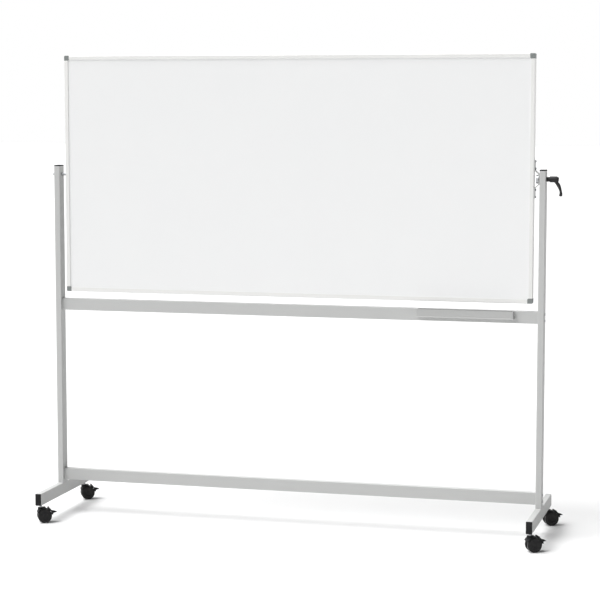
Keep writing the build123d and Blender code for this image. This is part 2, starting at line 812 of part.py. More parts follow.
def castor_wheel(x, y, side):
    """One of the twin wheels; side is 1 for the near one and -1 for the far one."""
    centre = Vector(x, y, wheel_radius) + trail_dir * castor_trail
    inner = wheel_gap / 2
    outer = castor_width / 2
    bore = axle_diameter / 2 + shaft_clearance
    recess = outer - wheel_disc
    outline = [
        (inner, bore),
        (inner, wheel_hub_radius),
        (recess, wheel_hub_radius),
        (recess, wheel_radius - wheel_rim),
        (inner, wheel_radius - wheel_rim),
        (inner, wheel_radius),
        (outer, wheel_radius),
        (outer, wheel_radius - wheel_rim - wheel_dish),
        (outer - wheel_dish, wheel_radius - wheel_rim - 2 * wheel_dish),
        (outer - wheel_dish, wheel_hub_radius + wheel_dish),
        (outer, wheel_hub_radius),
        (outer, 0),
        (outer - axle_cover, 0),
        (outer - axle_cover, bore),
    ]
    with BuildPart() as wheel:
        section = Plane(origin=centre, x_dir=axle_dir, z_dir=trail_dir * -1)
        with BuildSketch(section) as face:
            with BuildLine():
                Polyline(*[(side * t, r) for t, r in outline], close=True)
            make_face()
            tread_corners = [v for v in face.vertices() if abs(v.Y - wheel_radius) < web_side_gap]
            tread_corners.sort(key=lambda v: abs(v.X))
            fillet(tread_corners[0], wheel_dish)
            outer_corner = [v for v in face.vertices() if abs(v.Y - wheel_radius) < web_side_gap]
            fillet(max(outer_corner, key=lambda v: abs(v.X)), wheel_edge_radius)
        revolve(axis=Axis(centre, axle_dir))
    return wheel.part


def castor_axle(x, y):
    centre = Vector(x, y, wheel_radius) + trail_dir * castor_trail
    half = castor_width / 2 - axle_cover - axle_end_gap
    return turned(centre - axle_dir * half, [(axle_diameter, 2 * half)], axle_dir)


def castor_socket(x, y):
    with BuildPart() as socket:
        add(turned((x, y, castor_height), [(socket_diameter, socket_length)], (0, 0, 1)))
        round_cut((x, y, castor_height), stem_diameter, socket_length, (0, 0, 1))
    return socket.part


def castor_stem(x, y):
    shoulder = hood_top + moving_gap
    with BuildPart() as stem:
        add(
            turned(
                (x, y, stem_journal_bottom),
                [
                    (stem_journal_diameter, shoulder - stem_journal_bottom),
                    (stem_diameter, castor_height + stem_reach - shoulder),
                ],
                (0, 0, 1),
            )
        )
        chamfer(stem.edges().sort_by(Axis.Z)[-1], tube_wall)
    return stem.part


castor_places = {
    f"{end}_{side}": (sides[side] * post_x, ends[end] * castor_y) for end in ends for side in sides
}
for place, (x, y) in castor_places.items():
    save(castor_hood(x, y), f"{place}_hood")
    save(castor_pedal(x, y), f"{place}_pedal")
    save(castor_axle(x, y), f"{place}_axle")
    save(castor_wheel(x, y, 1), f"{place}_wheel_near")
    save(castor_wheel(x, y, -1), f"{place}_wheel_far")

save(Compound(children=[castor_socket(x, y) for x, y in castor_places.values()]), "castor_sockets")
save(Compound(children=[castor_stem(x, y) for x, y in castor_places.values()]), "castor_stems")
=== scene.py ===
# %% [markdown]
# # A rolling whiteboard
#
# A two-sided writing board hangs between two posts and turns over about a level axis. The posts
# stand on feet with four braked castors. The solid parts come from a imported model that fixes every
# size and place. This lesson gives them their finishes, models again the moulded pieces that need
# softer shapes than plain solids have, and sets up a white studio round the result.

# %% Load the fixed model
import json
from math import cos, pi, radians, sin

import bmesh
import bpy
from mathutils import Matrix, Vector


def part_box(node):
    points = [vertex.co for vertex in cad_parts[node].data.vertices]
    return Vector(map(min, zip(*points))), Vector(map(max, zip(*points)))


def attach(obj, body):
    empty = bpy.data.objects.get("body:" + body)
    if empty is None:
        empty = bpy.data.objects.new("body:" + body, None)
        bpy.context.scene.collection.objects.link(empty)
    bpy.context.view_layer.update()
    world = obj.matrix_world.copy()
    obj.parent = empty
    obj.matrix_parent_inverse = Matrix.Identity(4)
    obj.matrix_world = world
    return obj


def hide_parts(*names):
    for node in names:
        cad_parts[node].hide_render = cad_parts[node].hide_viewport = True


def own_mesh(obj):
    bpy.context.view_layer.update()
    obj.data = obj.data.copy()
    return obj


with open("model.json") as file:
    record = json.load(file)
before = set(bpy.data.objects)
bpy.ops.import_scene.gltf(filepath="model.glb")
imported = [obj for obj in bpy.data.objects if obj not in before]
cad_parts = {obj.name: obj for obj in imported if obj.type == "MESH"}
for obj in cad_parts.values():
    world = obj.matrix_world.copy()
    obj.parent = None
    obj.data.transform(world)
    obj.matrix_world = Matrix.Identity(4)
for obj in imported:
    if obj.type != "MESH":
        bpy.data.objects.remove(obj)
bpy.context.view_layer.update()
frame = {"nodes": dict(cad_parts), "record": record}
nodes = frame["nodes"]
print("pieces in the model:", len(nodes))

# %% [markdown]
# ## The camera
#
# The board is seen from the front and a little from the right, from about eye height and from far
# away, so the posts stay nearly upright and parallel. A long lens at almost eight metres gives that
# flat look; a short lens close by would make the near end of the board look much larger.

# %% Camera
bpy.ops.object.select_all(action="DESELECT")
bpy.ops.object.camera_add(location=(2.1157, -7.776, 1.794), rotation=(radians(84.0), 0, radians(15.02)))
camera = bpy.context.active_object
camera.name = "camera"
camera.data.sensor_width = 36.0
camera.data.lens = 116.93
bpy.context.scene.camera = camera
print("camera height:", round(camera.location.z, 3), "m, lens:", round(camera.data.lens, 1), "mm")

# %% [markdown]
# ## The white studio
#
# A pale floor, an even white surround, and three very soft lights. The broad one overhead works like a
# ceiling of lamps: it comes from so far away that the floor is equally bright right to its edge, and
# it makes the faces that look up the brightest. It leans to the left and a little to the front, so
# the faces on the right stay in shade. The weaker one in front and to the left lifts the writing
# surface above the ends of the tubes. The surround gives less light than it shows: a Light Path node
# lets the eye and the reflections see white paper, while the shaded faces stay darker. A third, weak
# one behind keeps the rear writing surface from looking grey.

# %% Floor, surround and lights
bpy.ops.object.select_all(action="DESELECT")
bpy.ops.mesh.primitive_plane_add(size=120.0, location=(0, 0, 0))
floor = bpy.context.active_object
floor.name = "floor"

scene = bpy.context.scene
scene.view_settings.view_transform = "Standard"
surround = bpy.data.worlds.new("surround")
scene.world = surround
surround.use_nodes = True
tree = surround.node_tree
tree.nodes.clear()
seen = tree.nodes.new("ShaderNodeBackground")
seen.inputs["Color"].default_value = (1.0, 1.0, 1.0, 1.0)
seen.inputs["Strength"].default_value = 1.0
given = tree.nodes.new("ShaderNodeBackground")
given.inputs["Color"].default_value = (0.98, 0.99, 1.0, 1.0)
given.inputs["Strength"].default_value = 0.15
ray = tree.nodes.new("ShaderNodeLightPath")
either = tree.nodes.new("ShaderNodeMath")
either.operation = "MAXIMUM"
choose = tree.nodes.new("ShaderNodeMixShader")
world_out = tree.nodes.new("ShaderNodeOutputWorld")
tree.links.new(ray.outputs["Is Camera Ray"], either.inputs[0])
tree.links.new(ray.outputs["Is Glossy Ray"], either.inputs[1])
tree.links.new(either.outputs["Value"], choose.inputs["Fac"])
tree.links.new(given.outputs["Background"], choose.inputs[1])
tree.links.new(seen.outputs["Background"], choose.inputs[2])
tree.links.new(choose.outputs["Shader"], world_out.inputs["Surface"])


def far_light(name, turn, strength, spread):
    """An even light from far away; turn and spread are in degrees."""
    bpy.ops.object.select_all(action="DESELECT")
    bpy.ops.object.light_add(type="SUN", location=(0, 0, 6), rotation=[radians(t) for t in turn])
    light = bpy.context.active_object
    light.name = name
    light.data.energy = strength
    light.data.angle = radians(spread)
    return light


lights = [
    far_light("light_overhead", (11, -24, 0), 4.00, 44.0),
    far_light("light_front", (58, 0, -35), 0.40, 40.0),
    far_light("light_back", (-55, 0, 20), 0.50, 40.0),
]
print("lights:", [light.name for light in lights])

# %% [markdown]
# ## A small kit for finishes
#
# Every finish below is a Principled shader with a few nodes in front of it. Real paint, plastic and
# metal are never perfectly even, so each one gets a slow drift in colour and gloss and a fine relief
# in its surface. Patterns are placed by Object coordinates, in metres, so they have a true scale and
# stay on the piece when it moves. The helpers below only save typing: one starts a material, one
# adds a node with its settings, one adds a noise pattern and one maps a pattern to a range.


# %% Helpers for materials
def new_finish(name):
    """A material with a Principled shader; returns the material, its node tree and the shader."""
    finish = bpy.data.materials.new(name)
    finish.use_nodes = True
    return finish, finish.node_tree, finish.node_tree.nodes["Principled BSDF"]


def add_node(tree, kind, **settings):
    """A node with its sockets set by name, where an underscore stands for a space."""
    node = tree.nodes.new(kind)
    for key, value in settings.items():
        node.inputs[key.replace("_", " ")].default_value = value
    return node


def stretched(tree, scale=(1.0, 1.0, 1.0)):
    """Object coordinates, stretched along each axis."""
    place = tree.nodes.new("ShaderNodeTexCoord")
    mapping = add_node(tree, "ShaderNodeMapping", Scale=scale)
    tree.links.new(place.outputs["Object"], mapping.inputs["Vector"])
    return mapping.outputs["Vector"]


def noise(tree, where, scale, detail=3.0, roughness=0.5):
    pattern = add_node(tree, "ShaderNodeTexNoise", Scale=scale, Detail=detail, Roughness=roughness)
    tree.links.new(where, pattern.inputs["Vector"])
    return pattern.outputs["Fac"]


def to_range(tree, value, low, high, first=0.3, last=0.7):
    """Turn a pattern's middle values into a range for a socket."""
    fit = add_node(tree, "ShaderNodeMapRange", From_Min=first, From_Max=last, To_Min=low, To_Max=high)
    tree.links.new(value, fit.inputs["Value"])
    return fit.outputs["Result"]


def blend_colours(tree, amount, first, second):
    """A colour between two others, by a pattern."""
    mix = tree.nodes.new("ShaderNodeMix")
    mix.data_type = "RGBA"
    mix.inputs["A"].default_value = (*first, 1.0)
    mix.inputs["B"].default_value = (*second, 1.0)
    tree.links.new(amount, mix.inputs["Factor"])
    return mix


def relief(tree, shader, height, strength, distance):
    """Raise the surface a little by a pattern; distance is in metres."""
    bump = add_node(tree, "ShaderNodeBump", Strength=strength, Distance=distance)
    tree.links.new(height, bump.inputs["Height"])
    tree.links.new(bump.outputs["Normal"], shader.inputs["Normal"])
    return bump


def wear_face(obj, finish):
    """Give a whole piece one finish."""
    obj.data.materials.clear()
    obj.data.materials.append(finish)


# %% [markdown]
# ## The floor
#
# White paper or a painted cove. It only has to be pale and quiet, with a trace of unevenness so that
# the soft shadow under the castors has something to lie on.

# %% Floor finish
studio_floor, tree, shader = new_finish("studio_floor")
place = stretched(tree)
cloudy = noise(tree, place, 1.2)
tint = blend_colours(tree, cloudy, (0.825, 0.825, 0.825), (0.840, 0.840, 0.840))
tree.links.new(tint.outputs["Result"], shader.inputs["Base Color"])
tree.links.new(to_range(tree, cloudy, 0.75, 0.9), shader.inputs["Roughness"])
shader.inputs["Specular IOR Level"].default_value = 0.1
wear_face(floor, studio_floor)

# %% [markdown]
# ## Powder coat on the stand
#
# The tubes are steel with a light grey powder coat. Powder melts into a skin with a fine pebbled
# surface, called orange peel, that breaks up reflections. A noise of about a millimetre and a half
# makes that relief. A second, much larger noise drifts the grey and the gloss, as a sprayed coat
# does, and a third picks out small rubbed patches that are smoother than the rest. The tray is bent
# from sheet and gets the same recipe a little darker, so the recipe is a function.


# %% Powder coat
def powder_coat(name, darker, lighter):
    """Baked powder: a slow drift in tint, rubbed patches and a pebbled skin."""
    finish, tree, shader = new_finish(name)
    place = stretched(tree)
    drift = noise(tree, place, 5.0, detail=2.0)
    tint = blend_colours(tree, drift, darker, lighter)
    tree.links.new(tint.outputs["Result"], shader.inputs["Base Color"])
    rubbed = noise(tree, place, 38.0, detail=6.0, roughness=0.6)
    tree.links.new(to_range(tree, rubbed, 0.40, 0.52), shader.inputs["Roughness"])
    relief(tree, shader, noise(tree, place, 700.0, detail=2.0), 0.25, 0.0002)
    shader.inputs["Specular IOR Level"].default_value = 0.12
    return finish


grey_paint = powder_coat("grey_powder_coat", (0.515, 0.520, 0.515), (0.540, 0.543, 0.536))
tray_paint = powder_coat("tray_powder_coat", (0.450, 0.454, 0.448), (0.475, 0.478, 0.472))

# %% [markdown]
# ## White enamel on the writing sheets
#
# Enamelled steel is nearly white and glossy under a clear skin. What gives a used board away is its
# gloss, not its colour: years of wiping leave wide level smears that are slightly duller. A noise
# stretched along the wiping direction drives the roughness, a slow noise gives the sheet the faint
# waviness of glued steel, and a very faint grey cloud stands for ink that was never quite wiped off.

# %% Writing sheets
white_enamel, tree, shader = new_finish("white_enamel")
wiped = noise(tree, stretched(tree, (0.9, 1.0, 6.0)), 3.0, detail=5.0, roughness=0.55)
ghost = noise(tree, stretched(tree), 4.5, detail=4.0)
tint = blend_colours(tree, ghost, (0.835, 0.840, 0.842), (0.855, 0.857, 0.855))
tree.links.new(tint.outputs["Result"], shader.inputs["Base Color"])
tree.links.new(to_range(tree, wiped, 0.27, 0.31, 0.0, 1.0), shader.inputs["Roughness"])
relief(tree, shader, noise(tree, stretched(tree), 2.2, detail=1.0), 0.03, 0.004)
shader.inputs["Coat Weight"].default_value = 0.25
shader.inputs["Coat Roughness"].default_value = 0.12

# %% [markdown]
# ## Anodised aluminium
#
# The frame bars are extruded and anodised. The die leaves hairlines along the bar, so the grain of
# the level bars runs along X and that of the upright bars along Z. The same recipe is used twice with
# the noise stretched the other way. Anodising scatters light, so the metal is soft and pale, and it
# is only partly metallic.


# %% Anodised bars
def anodised(name, grain):
    """Pale aluminium whose hairlines run along the axis with the small scale."""
    finish, tree, shader = new_finish(name)
    lines = noise(tree, stretched(tree, grain), 900.0, detail=4.0, roughness=0.6)
    cloud = noise(tree, stretched(tree), 9.0, detail=2.0)
    tint = blend_colours(tree, lines, (0.70, 0.70, 0.69), (0.82, 0.82, 0.80))
    tree.links.new(tint.outputs["Result"], shader.inputs["Base Color"])
    tree.links.new(to_range(tree, cloud, 0.36, 0.46), shader.inputs["Roughness"])
    relief(tree, shader, lines, 0.12, 0.0001)
    shader.inputs["Metallic"].default_value = 0.30
    return finish


anodised_level = anodised("anodised_level", (0.01, 1.0, 1.0))
anodised_upright = anodised("anodised_upright", (1.0, 1.0, 0.01))

# %% [markdown]
# ## Moulded plastics
#
# Seven mouldings' finishes: mid-grey corners, the black of hoods, pedals and foot caps, the duller
# black of the post caps, the slightly greyer lever, the harder and glossier wheels, the dark grey
# bearings and the rough friction lining. A mould is etched with a fine grain, which is a tight noise
# in the relief. Handled plastic polishes, so a larger noise lets the gloss wander. A pale veil in
# patches stands for dust, and it is strongest on the wheels.


# %% Moulded plastic
def moulded(name, colour, paler, gloss, grain, shine=0.3):
    """Plastic with two tints, a lowest and highest roughness, and a grain's scale and strength."""
    finish, tree, shader = new_finish(name)
    shader.inputs["Specular IOR Level"].default_value = shine
    place = stretched(tree)
    veil = noise(tree, place, 60.0, detail=5.0, roughness=0.6)
    tint = blend_colours(tree, to_range(tree, veil, 0.0, 1.0, 0.35, 0.75), colour, paler)
    tree.links.new(tint.outputs["Result"], shader.inputs["Base Color"])
    handled = noise(tree, place, 24.0, detail=3.0)
    tree.links.new(to_range(tree, handled, *gloss), shader.inputs["Roughness"])
    grain_scale, grain_strength = grain
    relief(tree, shader, noise(tree, place, grain_scale, detail=2.0), grain_strength, 0.0001)
    return finish


fine_grain = (1600.0, 0.35)
corner_plastic = moulded(
    "corner_plastic", (0.205, 0.222, 0.218), (0.235, 0.250, 0.245), (0.42, 0.55), (1500.0, 0.3)
)
black_plastic = moulded(
    "black_plastic", (0.013, 0.013, 0.014), (0.021, 0.021, 0.022), (0.42, 0.56), fine_grain, 0.10
)
cap_plastic = moulded(
    "cap_plastic", (0.010, 0.010, 0.011), (0.017, 0.017, 0.018), (0.60, 0.74), fine_grain, 0.0
)
lever_plastic = moulded(
    "lever_plastic", (0.019, 0.019, 0.020), (0.028, 0.028, 0.029), (0.34, 0.48), fine_grain, 0.2
)
wheel_plastic = moulded(
    "wheel_plastic", (0.004, 0.004, 0.005), (0.020, 0.019, 0.018), (0.24, 0.44), (900.0, 0.15), 0.2
)
bearing_plastic = moulded(
    "bearing_plastic", (0.10, 0.10, 0.10), (0.13, 0.13, 0.13), (0.4, 0.5), (1200.0, 0.2)
)
friction_lining = moulded(
    "friction_lining", (0.05, 0.048, 0.045), (0.09, 0.085, 0.08), (0.7, 0.85), (2200.0, 0.6)
)

# %% [markdown]
# ## Zinc-plated steel
#
# Stems, bolts and nuts are plated against rust. Bright zinc is a bluish grey metal with a speckle of
# small crystals, duller than chrome. A Voronoi pattern gives the crystals, and its cells change both
# the tint and the gloss. The spring wire has the same recipe, darker and smoother.


# %% Zinc plating
def plated(name, dark, light, gloss_low, gloss_high, crystal_scale):
    finish, tree, shader = new_finish(name)
    place = stretched(tree)
    crystals = add_node(tree, "ShaderNodeTexVoronoi", Scale=crystal_scale)
    tree.links.new(place, crystals.inputs["Vector"])
    speckle = to_range(tree, crystals.outputs["Color"], 0.0, 1.0, 0.1, 0.9)
    tint = blend_colours(tree, speckle, dark, light)
    tree.links.new(tint.outputs["Result"], shader.inputs["Base Color"])
    tree.links.new(to_range(tree, speckle, gloss_low, gloss_high, 0.0, 1.0), shader.inputs["Roughness"])
    relief(tree, shader, noise(tree, place, 1300.0), 0.1, 0.0001)
    shader.inputs["Metallic"].default_value = 1.0
    return finish


zinc_plating = plated("zinc_plating", (0.32, 0.33, 0.34), (0.46, 0.47, 0.48), 0.34, 0.48, 900.0)
spring_wire = plated("spring_wire", (0.34, 0.34, 0.35), (0.46, 0.46, 0.47), 0.18, 0.26, 1800.0)

# %% [markdown]
# ## The hidden core
#
# The board's filling is a paper honeycomb between the two steel sheets. It can only be seen if the
# frame is taken off, but it still gets a papery brown with the faint six-sided cell walls.

# %% Paper core
paper_core, tree, shader = new_finish("paper_core")
place = stretched(tree)
cells = add_node(tree, "ShaderNodeTexVoronoi", Scale=70.0)
cells.feature = "DISTANCE_TO_EDGE"
tree.links.new(place, cells.inputs["Vector"])
wall = to_range(tree, cells.outputs["Distance"], 0.0, 1.0, 0.02, 0.08)
tint = blend_colours(tree, wall, (0.42, 0.31, 0.19), (0.62, 0.50, 0.35))
tree.links.new(tint.outputs["Result"], shader.inputs["Base Color"])
tree.links.new(to_range(tree, noise(tree, place, 200.0), 0.8, 0.95), shader.inputs["Roughness"])
relief(tree, shader, wall, 0.3, 0.001)

# %% [markdown]
# ## Finishes on the pieces whose shape is already right
#
# Straight tubes, sheets, bars, bolts and sleeves need no new modelling. The record names a finish for
# each of them, so a short table from the record's finish to ours dresses them all.

# %% Dress the model
finish_of = {
    "grey_paint": grey_paint,
    "white_sheet": white_enamel,
    "core": paper_core,
    "frame_aluminium": anodised_level,
    "corner_plastic": corner_plastic,
    "black_plastic": black_plastic,
    "wheel_plastic": wheel_plastic,
    "sleeve_plastic": bearing_plastic,
    "zinc_steel": zinc_plating,
    "bracket_paint": grey_paint,
    "disc_plastic": friction_lining,
    "spring_steel": spring_wire,
}
for entry in frame["record"]["subparts"]:
    wear_face(nodes[entry["node"]], finish_of[entry["material_slot"]])
for name in ("frame_left", "frame_right"):
    wear_face(nodes[name], anodised_upright)
print("finishes given:", len(finish_of))

# %% [markdown]
# ## Modelling by hand
#
# The moulded pieces are modelled again with the ordinary tools: a primitive is put down at its size,
# shaped in edit mode and finished with modifiers that are applied. An operator works on whatever is
# selected, so each helper first clears the selection. Everything is in metres. Faces and edges are
# picked by asking where they are and which way they look, as one would pick them with the mouse.


# %% Helpers for modelling
def clear_selection():
    bpy.ops.object.select_all(action="DESELECT")


def choose_only(piece):
    clear_selection()
    piece.select_set(True)
    bpy.context.view_layer.objects.active = piece


def settled(name):
    """Name the primitive that was just added, and put its place and size into its mesh."""
    piece = bpy.context.active_object
    piece.name = name
    piece.data.name = name
    choose_only(piece)
    bpy.ops.object.transform_apply(location=True, rotation=True, scale=True)
    return piece


def block(name, low, high):
    """A cube stretched between two corners."""
    clear_selection()
    middle = [(a + b) / 2 for a, b in zip(low, high)]
    sides = [b - a for a, b in zip(low, high)]
    bpy.ops.mesh.primitive_cube_add(size=1.0, location=middle, scale=sides)
    return settled(name)


def round_bar(name, start, length, radius, turn=(0, 90, 0), sides=48):
    """A cylinder that starts at a point. Its turn carries the +Z axis to its own axis, in degrees."""
    clear_selection()
    angles = [radians(t) for t in turn]
    along = Matrix.Rotation(angles[1], 3, "Y") @ Matrix.Rotation(angles[0], 3, "X") @ Vector((0, 0, 1))
    middle = Vector(start) + along * (length / 2)
    bpy.ops.mesh.primitive_cylinder_add(
        vertices=sides, radius=radius, depth=length, location=middle, rotation=angles
    )
    return settled(name)


def open_for_editing(piece, element="FACE"):
    choose_only(piece)
    bpy.ops.object.mode_set(mode="EDIT")
    bpy.ops.mesh.select_mode(type=element)


def done_editing():
    bpy.ops.object.mode_set(mode="OBJECT")


def pick_faces(wanted):
    """In edit mode, select the faces whose middle and normal pass a test; returns how many."""
    mesh = bmesh.from_edit_mesh(bpy.context.edit_object.data)
    bpy.ops.mesh.select_all(action="DESELECT")
    for face in mesh.faces:
        face.select_set(wanted(face.calc_center_median(), face.normal))
    bmesh.update_edit_mesh(bpy.context.edit_object.data)
    return sum(face.select for face in mesh.faces)


def pick_edges(wanted):
    """In edit mode, select the edges whose middle and two ends pass a test; returns how many."""
    mesh = bmesh.from_edit_mesh(bpy.context.edit_object.data)
    bpy.ops.mesh.select_all(action="DESELECT")
    for edge in mesh.edges:
        first, second = (corner.co for corner in edge.verts)
        edge.select_set(wanted((first + second) / 2, first, second))
    bmesh.update_edit_mesh(bpy.context.edit_object.data)
    return sum(edge.select for edge in mesh.edges)


def step_inwards(thickness):
    """Inset the selected face by a distance."""
    bpy.ops.mesh.inset(thickness=thickness, depth=0.0)


def push(x=0.0, y=0.0, z=0.0):
    """Extrude the selection and move it."""
    bpy.ops.mesh.extrude_region_move(TRANSFORM_OT_translate={"value": (x, y, z)})


def round_edges(piece, width, segments=3, angle=35.0):
    """Round every edge sharper than an angle, and shade the flats and rounds apart."""
    choose_only(piece)
    rounding = piece.modifiers.new("rounding", "BEVEL")
    rounding.width = width
    rounding.segments = segments
    rounding.limit_method = "ANGLE"
    rounding.angle_limit = radians(angle)
    bpy.ops.object.modifier_apply(modifier=rounding.name)
    bpy.ops.object.shade_smooth_by_angle(angle=radians(40))


def combine(piece, other, operation="UNION"):
    """Join or cut with another solid, which is used up."""
    choose_only(piece)
    joint = piece.modifiers.new("combine", "BOOLEAN")
    joint.operation = operation
    joint.object = other
    joint.solver = "EXACT"
    bpy.ops.object.modifier_apply(modifier=joint.name)
    bpy.data.objects.remove(other)
    open_for_editing(piece, "VERT")
    bpy.ops.mesh.select_all(action="SELECT")
    bpy.ops.mesh.remove_doubles(threshold=2e-6)
    bpy.ops.mesh.dissolve_degenerate(threshold=2e-6)
    done_editing()
    return piece


def copied(piece, name):
    """A copy with its own mesh."""
    choose_only(piece)
    bpy.ops.object.duplicate(linked=False)
    twin = bpy.context.active_object
    twin.name = name
    twin.data.name = name
    return twin


def open_edges(piece):
    """How many edges don't have exactly two faces: nought on a closed piece."""
    shape = bmesh.new()
    shape.from_mesh(piece.data)
    count = sum(1 for edge in shape.edges if not edge.is_manifold)
    shape.free()
    return count


def stand_in(piece, body, slot, finish, *replaced):
    """Attach a finished piece, dress it, and let it stand for solid pieces."""
    wear_face(piece, finish)
    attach(piece, body)
    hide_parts(*replaced)
    print(piece.name, "faces:", len(piece.data.polygons), "open edges:", open_edges(piece))


# %% [markdown]
# ## Softer edges on the small mouldings and the tray
#
# Caps, corners and the bent tray have the right shape already, but their edges are knife sharp. A
# real moulding has a radius of about half a millimetre on every edge, and folded sheet has one too,
# and that is what catches the light. Modelling them again would only repeat the solid, so each is
# copied. A solid's mesh is loose triangles: the copy's corners are merged, its flat triangles are
# dissolved into whole faces, and then every sharp edge is rounded. Weighted normals keep the shading
# of the large faces flat, so that only the rounded edges catch the light.


# %% Rounded copies of solid pieces
def softened(node, body, slot, finish, width):
    """A copy of a solid piece with its sharp edges rounded, standing for the solid."""
    piece = copied(nodes[node], f"{node}_moulding")
    open_for_editing(piece, "VERT")
    bpy.ops.mesh.select_all(action="SELECT")
    bpy.ops.mesh.remove_doubles(threshold=1e-5)
    bpy.ops.mesh.dissolve_limited(angle_limit=radians(1.0))
    done_editing()
    round_edges(piece, width, segments=2, angle=40)
    flat = piece.modifiers.new("flat", "WEIGHTED_NORMAL")
    flat.keep_sharp = True
    bpy.ops.object.modifier_apply(modifier=flat.name)
    stand_in(piece, body, slot, finish, node)


for name in ("corner_top_left", "corner_top_right", "corner_bottom_left", "corner_bottom_right"):
    softened(name, "board", "corner_plastic", corner_plastic, 0.0006)
softened("post_caps", "stand", "black_plastic", cap_plastic, 0.0005)
softened("foot_end_caps", "stand", "black_plastic", black_plastic, 0.0005)
softened("pen_tray", "stand", "grey_paint", tray_paint, 0.0004)

# %% [markdown]
# ## The clamping lever
#
# The lever that locks the board is one black moulding: a round neck against the post, a fatter hub
# with a chamfered mouth, and an arm that leaves the hub sideways and sweeps down to a rounded tip.
# The hub is turned from one cylinder. Its end faces are stepped inwards and pushed to make the mouth
# with the screw in it and the bore for the threaded insert, and the two are bridged through the wall
# between them. The arm starts as a block inside the hub. Its lower face is extruded from station to
# station, made narrower each time, and a subdivision surface turns the steps into one smooth sweep.

# %% Lever: hub
neck_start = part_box("clamp_lever")[0].x
axis_z = (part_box("clamp_spindle")[0].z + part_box("clamp_spindle")[1].z) / 2
hub_start = neck_start + 0.0134
hub_end = neck_start + 0.049
neck_radius = 0.0095
hub_radius = 0.01225
mouth_radius = 0.0077
mouth_length = 0.0080
shoulder = 0.0005
pocket_radius = 0.0055  # holds the spring and the screw's head
screw_way = 0.0028  # radius of the hole in the wall between pocket and insert
insert_way = 0.00805  # radius of the bore round the insert
hub = round_bar("clamp_lever_arm", (neck_start, 0, axis_z), hub_start - neck_start, neck_radius)
open_for_editing(hub)
pick_faces(lambda at, normal: normal.x > 0.9)
push(x=shoulder)
bpy.ops.transform.resize(value=(1, hub_radius / neck_radius, hub_radius / neck_radius))
push(x=hub_end - hub_start - shoulder - mouth_length)
push(x=mouth_length)
bpy.ops.transform.resize(value=(1, mouth_radius / hub_radius, mouth_radius / hub_radius))
step_inwards(mouth_radius - pocket_radius)
wall_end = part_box("lever_spring")[0].x
push(x=wall_end - hub_end)
step_inwards(pocket_radius - screw_way)
pick_faces(lambda at, normal: normal.x < -0.9 and at.x < neck_start + 0.0001)
step_inwards(neck_radius - insert_way)
push(x=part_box("lever_insert")[1].x + 0.0004 - neck_start)
step_inwards(insert_way - screw_way)


def off_axis(point):
    """How far a point is from the lever's axis."""
    return (point - Vector((point.x, 0, axis_z))).length


pick_faces(lambda at, normal: abs(normal.x) > 0.9 and off_axis(at) < 0.0003)
bpy.ops.mesh.delete(type="ONLY_FACE")
pick_edges(lambda at, a, b: all(abs(off_axis(p) - screw_way) < 0.0001 for p in (a, b)))
bpy.ops.mesh.bridge_edge_loops()
done_editing()
round_edges(hub, 0.0006, segments=2, angle=25)
print("hub length:", round((hub_end - neck_start) * 1000, 1), "mm, open edges:", open_edges(hub))

# %% Lever: arm
stations = [
    # below the axis, inner side and outer side from the neck, half the thickness
    (0.012, 0.0300, 0.0500, 0.0070),
    (0.019, 0.0360, 0.0555, 0.0072),
    (0.030, 0.0430, 0.0592, 0.0070),
    (0.042, 0.0500, 0.0612, 0.0066),
    (0.054, 0.0532, 0.0642, 0.0068),
    (0.0615, 0.0495, 0.0652, 0.0074),
    (0.0685, 0.0500, 0.0640, 0.0058),
]
top_half = 0.0070
inner, outer = neck_start + 0.0250, neck_start + 0.0440
arm = block("lever_sweep", (inner, -top_half, axis_z - 0.006), (outer, top_half, axis_z + 0.002))
open_for_editing(arm)
pick_faces(lambda at, normal: normal.z < -0.9)
below, half = 0.006, top_half
for new_below, new_inner, new_outer, new_half in stations:
    new_inner, new_outer = neck_start + new_inner, neck_start + new_outer
    middle = (new_inner + new_outer) / 2
    push(x=middle - (inner + outer) / 2, z=below - new_below)
    widen = (new_outer - new_inner) / (outer - inner)
    bpy.ops.transform.resize(
        value=(widen, new_half / half, 1), center_override=(middle, 0, axis_z - new_below)
    )
    inner, outer, below, half = new_inner, new_outer, new_below, new_half
done_editing()
choose_only(arm)
smooth = arm.modifiers.new("smooth", "SUBSURF")
smooth.levels = smooth.render_levels = 3
bpy.ops.object.modifier_apply(modifier=smooth.name)
plug = round_bar("plug", (neck_start + 0.001, 0, axis_z), hub_end - neck_start + 0.02, 0.0100)
combine(arm, plug, "DIFFERENCE")
combine(hub, arm)
choose_only(hub)
bpy.ops.object.shade_smooth_by_angle(angle=radians(40))
stand_in(hub, "lever", "black_plastic", lever_plastic, "clamp_lever")

# %% [markdown]
# The spring inside the hub holds the lever's teeth in mesh. Pulling the lever out squeezes it against
# the screw's head. A copy of the spring, with its corners merged, stands for the solid one.

# %% Lever: spring
spring = copied(nodes["lever_spring"], "lever_spring_coil")
open_for_editing(spring, "VERT")
bpy.ops.mesh.select_all(action="SELECT")
bpy.ops.mesh.remove_doubles(threshold=1e-6)
done_editing()
bpy.ops.object.shade_smooth_by_angle(angle=radians(40))
stand_in(spring, "clamp_nut", "spring_steel", spring_wire, "lever_spring")
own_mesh(spring)

# %% [markdown]
# ## One castor, modelled once
#
# All four castors are alike, so one is modelled with its stem on the world's Z axis and its wheels
# trailing along +X, then copied to the four places and turned to the heading that they all share. The
# wheels are a pair with a gap between them, in which the hood's web and the brake's tongue run.
#
# A wheel starts as a thin cylinder. Its outer face is stepped inwards and pushed into a shallow dish
# with a raised cap in the middle. Its inner face is hollowed out round a hub that takes the axle. The
# rolling edge is rounded generously on the outside, as on real furniture castors, so that it climbs
# over carpet and thresholds.

